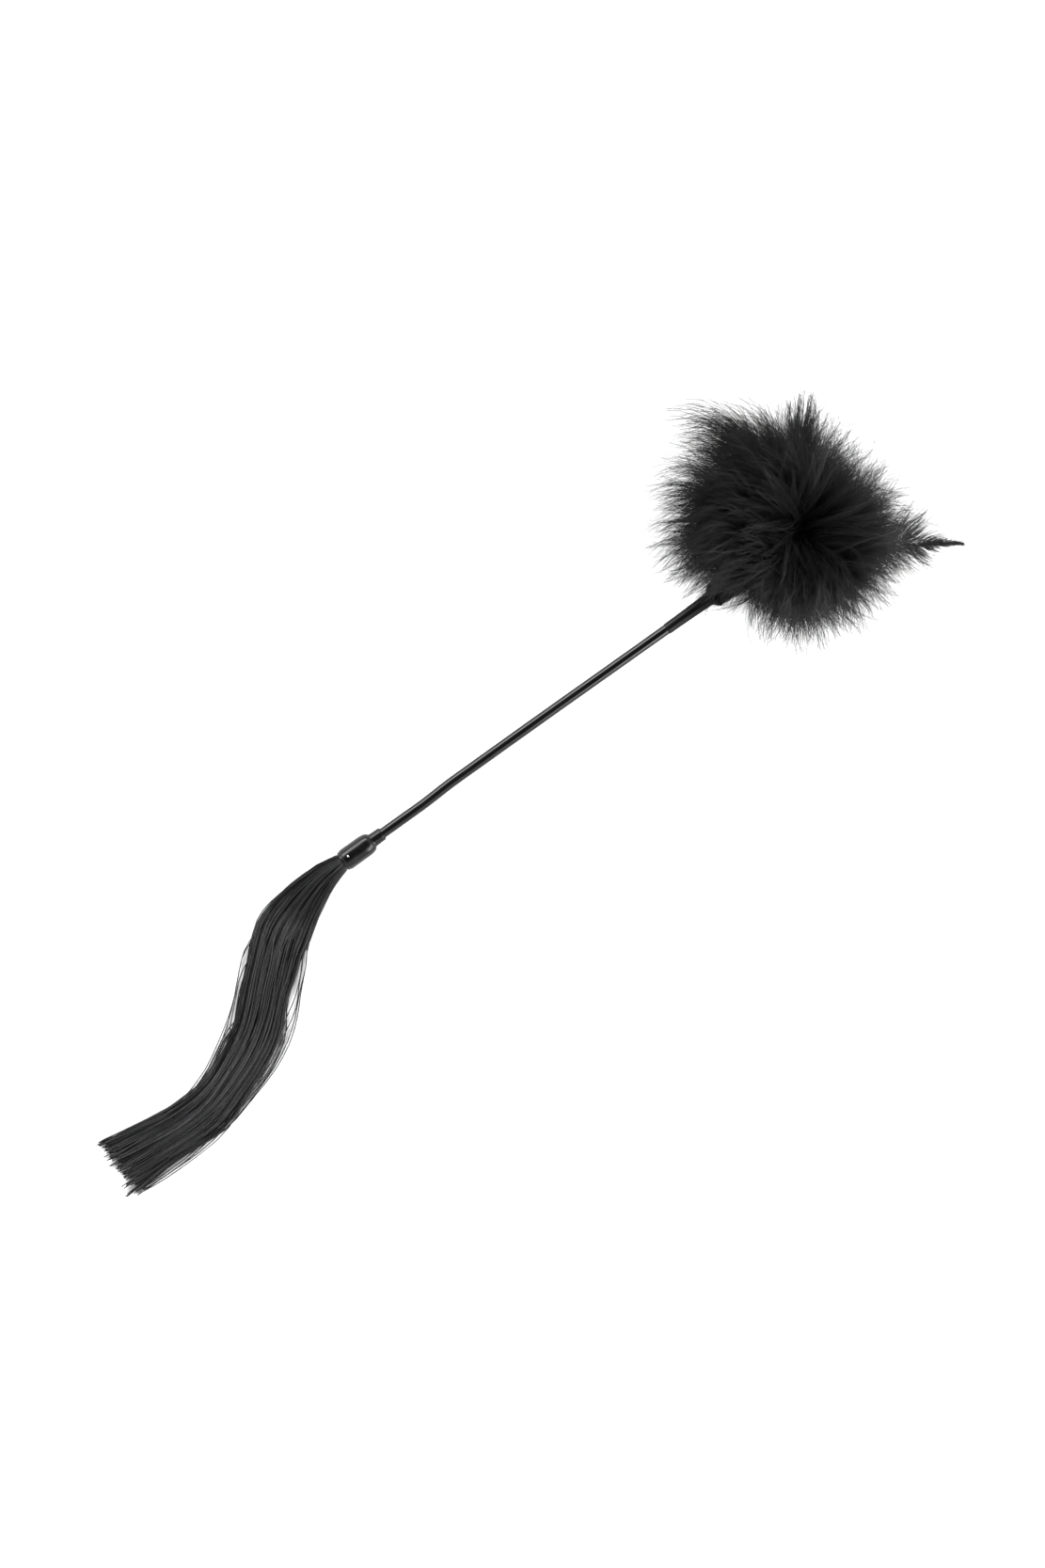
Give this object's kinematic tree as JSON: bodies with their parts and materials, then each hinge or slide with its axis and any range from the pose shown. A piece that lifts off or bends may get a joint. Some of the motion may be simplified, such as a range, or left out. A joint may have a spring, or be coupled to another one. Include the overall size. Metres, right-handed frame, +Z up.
{
  "type": "feather duster",
  "caption": "Slim two-ended duster: a thin rod with a fluffy feather puff bound to one end and a long tassel of soft rubber strands, held in a moulded ferrule, on the other.",
  "frame": {"origin": "on the surface it lies on, under the middle of everything but the loose strands", "axes": "+Z up from the surface; +X along the rod, from the tassel's ferrule to the feathers; +Y the side of the longer feathers"},
  "size_m": [0.586, 0.1804, 0.0919],
  "materials": {
    "rod_plastic": "gloss black, extruded",
    "ferrule_plastic": "gloss black, moulded",
    "pin_steel": "small steel brad",
    "root_adhesive": "set adhesive",
    "binding_thread": "wound black thread",
    "sleeve_plastic": "shrunk-on sleeve, satin",
    "feather_down": "dyed black down",
    "strand_rubber": "satin black rubber"
  },
  "bodies": {
    "root": {"handle_rod": "rod_plastic", "tassel_ferrule": "ferrule_plastic", "ferrule_pin": "pin_steel", "root_adhesive_plug": "root_adhesive", "quill_binding_thread": "binding_thread", "binding_sleeve": "sleeve_plastic", "front_feather_1": "feather_down", "front_feather_2": "feather_down", "front_feather_3": "feather_down", "front_feather_4": "feather_down", "tip_feather": "feather_down", "tuft_feather": "feather_down", "middle_feather_1": "feather_down", "middle_feather_2": "feather_down", "middle_feather_3": "feather_down", "middle_feather_4": "feather_down", "middle_feather_5": "feather_down", "middle_feather_6": "feather_down", "back_feather_1": "feather_down", "back_feather_2": "feather_down", "back_feather_3": "feather_down", "back_feather_4": "feather_down", "back_feather_5": "feather_down", "back_feather_6": "feather_down", "drooping_feather_1": "feather_down", "drooping_feather_2": "feather_down", "drooping_feather_3": "feather_down", "drooping_feather_4": "feather_down", "drooping_feather_5": "feather_down", "drooping_feather_6": "feather_down", "tassel_lock_01": "strand_rubber", "tassel_lock_02": "strand_rubber", "tassel_lock_03": "strand_rubber", "tassel_lock_04": "strand_rubber", "tassel_lock_05": "strand_rubber", "tassel_lock_06": "strand_rubber", "tassel_lock_07": "strand_rubber", "tassel_lock_08": "strand_rubber", "tassel_lock_09": "strand_rubber", "tassel_lock_10": "strand_rubber", "tassel_lock_11": "strand_rubber", "tassel_lock_12": "strand_rubber", "tassel_lock_13": "strand_rubber", "tassel_lock_14": "strand_rubber", "tassel_lock_15": "strand_rubber", "tassel_lock_16": "strand_rubber", "tassel_lock_17": "strand_rubber", "tassel_lock_18": "strand_rubber", "tassel_lock_19": "strand_rubber", "tassel_lock_20": "strand_rubber", "tassel_lock_21": "strand_rubber", "tassel_lock_22": "strand_rubber", "tassel_lock_23": "strand_rubber", "tassel_lock_24": "strand_rubber", "tassel_lock_25": "strand_rubber", "tassel_lock_26": "strand_rubber", "tassel_lock_27": "strand_rubber", "tassel_lock_28": "strand_rubber"}
  },
  "joints": []
}
